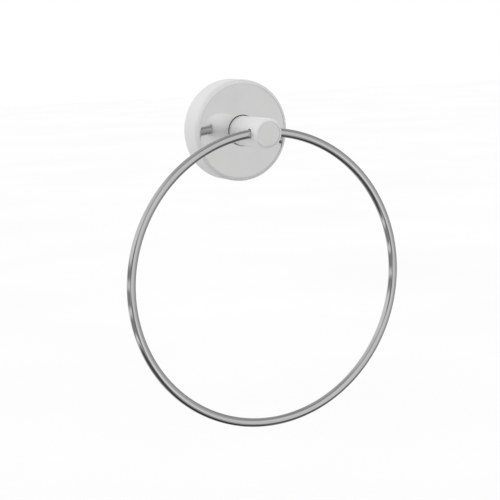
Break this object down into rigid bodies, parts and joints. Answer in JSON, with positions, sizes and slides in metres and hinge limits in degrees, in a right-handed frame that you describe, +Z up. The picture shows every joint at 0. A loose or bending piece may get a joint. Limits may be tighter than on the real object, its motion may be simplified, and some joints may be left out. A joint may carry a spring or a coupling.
{
  "type": "towel ring",
  "caption": "Wall mounted towel ring: a bright wire hoop swings in a round post on a deep round rose that hides the bracket and its screws.",
  "frame": {"origin": "the middle of the wall face, on the post's axis", "axes": "+Y points into the wall and the post stands out toward -Y; +Z is up, so the ring hangs toward -Z; +X is to the right for someone facing the wall"},
  "size_m": [0.17, 0.0505, 0.1963],
  "materials": {
    "polished_chrome": "mirror polished chrome plate on brass",
    "buffed_chrome": "bright chrome plate on brass, softly buffed on its edges and sides",
    "cast_zinc": "die cast zinc, dull grey",
    "plain_steel": "stainless steel, satin"
  },
  "bodies": {
    "holder": {"post": "buffed_chrome", "rose": "buffed_chrome", "wall_bracket": "cast_zinc", "rose_grub_screw": "plain_steel", "post_screw": "plain_steel", "post_washer": "plain_steel", "lock_washer": "plain_steel"},
    "hoop": {"ring": "polished_chrome"}
  },
  "joints": [
    {"name": "ring_swing", "type": "hinge", "parent": "holder", "child": "hoop", "pos_m": [0, -0.0425, 0], "axis": [1, 0, 0], "range_deg": [-193, 13]}
  ]
}
